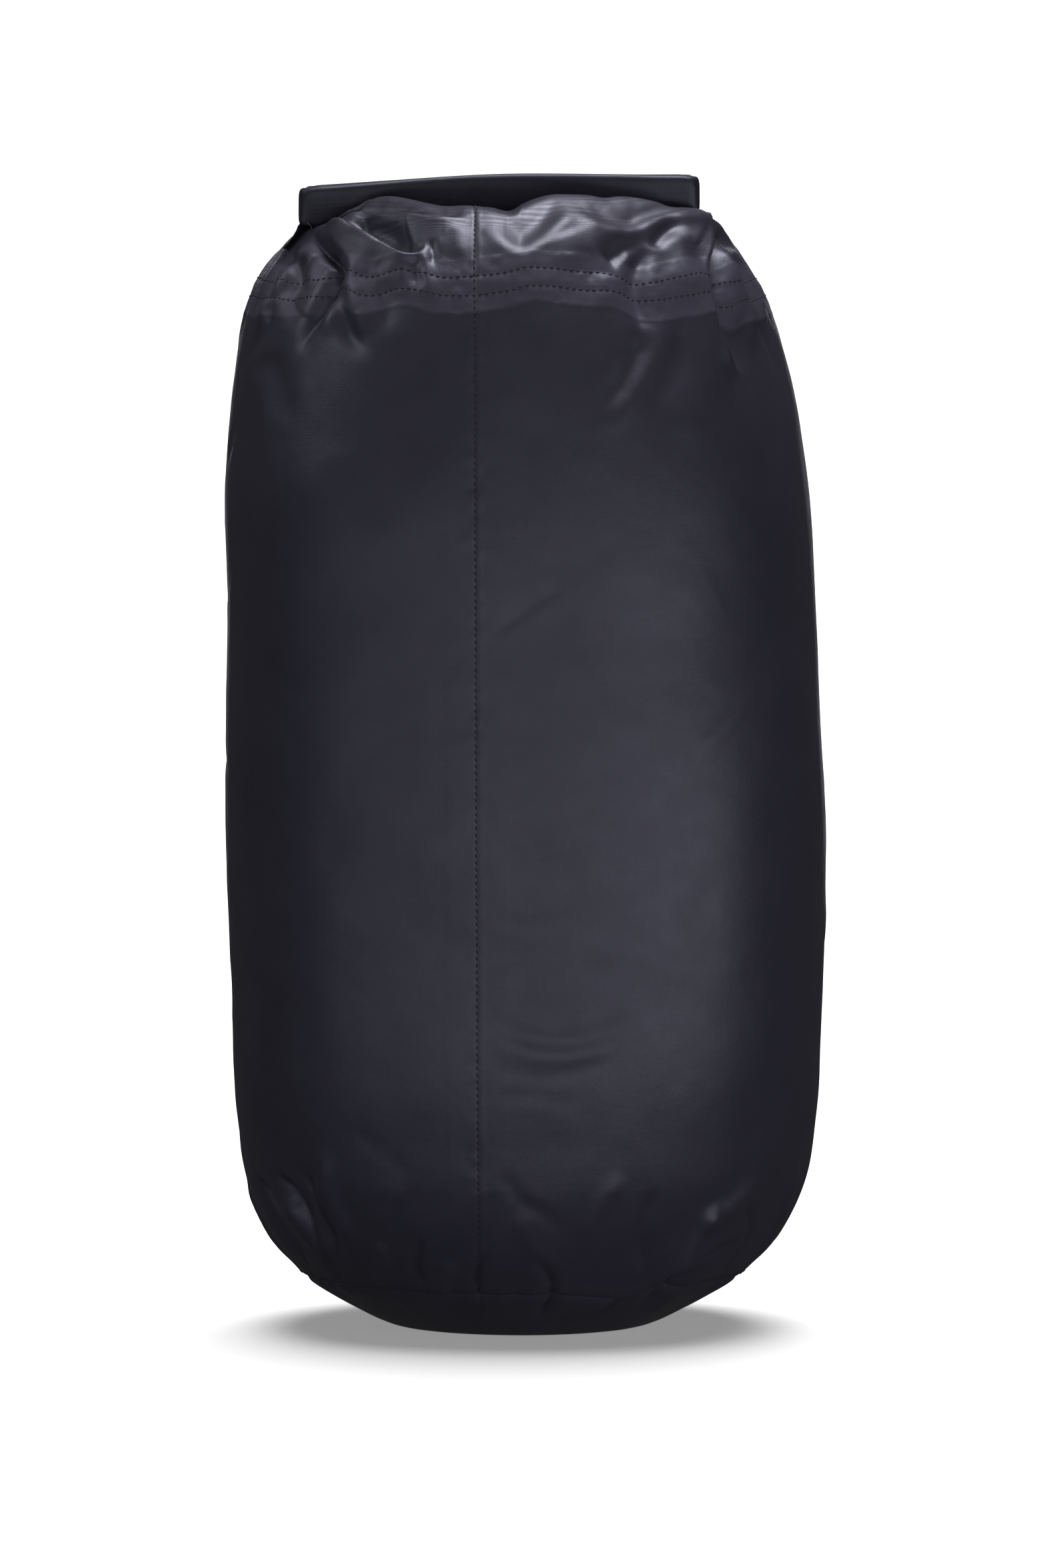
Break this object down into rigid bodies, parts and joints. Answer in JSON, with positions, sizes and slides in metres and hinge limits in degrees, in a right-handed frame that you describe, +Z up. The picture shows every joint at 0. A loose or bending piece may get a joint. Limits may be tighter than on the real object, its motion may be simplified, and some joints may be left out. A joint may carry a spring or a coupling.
{
  "type": "roll-top dry sack",
  "caption": "Stuffed round-bottomed fabric sack whose stiff rolled mouth is bent into a loop and clipped with a side-release buckle.",
  "frame": {"origin": "middle of the base, on the surface it stands on", "axes": "+Z up the tube; +Y towards the buckle, so -Y is the side with the long seam; +X to the right seen from -Y"},
  "size_m": [0.2244, 0.2248, 0.432],
  "materials": {
    "coated_nylon": "satin",
    "seam_tape": "satin",
    "thread": "matte",
    "strip_plastic": "satin",
    "webbing": "matte",
    "buckle_plastic": "satin"
  },
  "bodies": {
    "sack": {"base_panel": "coated_nylon", "body_panel": "coated_nylon", "base_seam_tape": "seam_tape", "body_seam_tape": "seam_tape", "body_seam_thread": "thread", "base_seam_thread": "thread"},
    "crown": {"collar_panel": "coated_nylon", "collar_seam_tape": "seam_tape", "collar_thread_lower": "thread", "collar_thread_upper": "thread", "collar_seam_thread": "thread", "roll_front": "coated_nylon", "stiffener_front": "strip_plastic"},
    "arm_left": {"roll_left": "coated_nylon", "stiffener_left": "strip_plastic", "tab_stitching_left": "thread"},
    "arm_right": {"roll_right": "coated_nylon", "stiffener_right": "strip_plastic", "tab_stitching_right": "thread"},
    "buckle_female": {"buckle_female_body": "buckle_plastic", "left_webbing_tab": "webbing"},
    "buckle_male": {"buckle_male_base": "buckle_plastic", "right_webbing_tab": "webbing"},
    "prong_upper": {"buckle_prong_upper": "buckle_plastic"},
    "prong_lower": {"buckle_prong_lower": "buckle_plastic"}
  },
  "joints": [
    {"name": "compress", "type": "slide", "parent": "sack", "child": "crown", "axis": [0, 0, -1], "range_m": [0, 0.1], "stiffness_N_per_m": 250, "springref_m": -0.006, "deforming": ["body_panel", "body_seam_tape", "body_seam_thread"]},
    {"name": "left_arm_swing", "type": "hinge", "parent": "crown", "child": "arm_left", "pos_m": [-0.081, -0.03, 0.42325], "axis": [0, 0, 1], "range_deg": [0, 30], "deforming": ["buckle_prong_upper", "buckle_prong_lower"]},
    {"name": "right_arm_swing", "type": "hinge", "parent": "crown", "child": "arm_right", "pos_m": [0.062, -0.03, 0.42325], "axis": [0, 0, -1], "range_deg": [0, 30]},
    {"name": "female_swivel", "type": "hinge", "parent": "arm_left", "child": "buckle_female", "pos_m": [-0.0395, 0.066, 0.4215], "axis": [0, 0, -1], "range_deg": [0, 30]},
    {"name": "male_swivel", "type": "hinge", "parent": "arm_right", "child": "buckle_male", "pos_m": [0.0205, 0.066, 0.4215], "axis": [0, 0, 1], "range_deg": [0, 30]},
    {"name": "prong_upper_press", "type": "hinge", "parent": "buckle_male", "child": "prong_upper", "pos_m": [-0.00747, 0.066, 0.42735], "axis": [0, -1, 0], "range_deg": [0, 10], "stiffness_Nm_per_rad": 0.4, "springref_deg": -2.86},
    {"name": "prong_lower_press", "type": "hinge", "parent": "buckle_male", "child": "prong_lower", "pos_m": [-0.00747, 0.066, 0.41565], "axis": [0, 1, 0], "range_deg": [0, 10], "stiffness_Nm_per_rad": 0.4, "springref_deg": -2.86}
  ],
  "couplings": [
    {"joint": "right_arm_swing", "follows": "left_arm_swing", "ratio": 1},
    {"joint": "female_swivel", "follows": "left_arm_swing", "ratio": 1},
    {"joint": "male_swivel", "follows": "left_arm_swing", "ratio": 1}
  ]
}
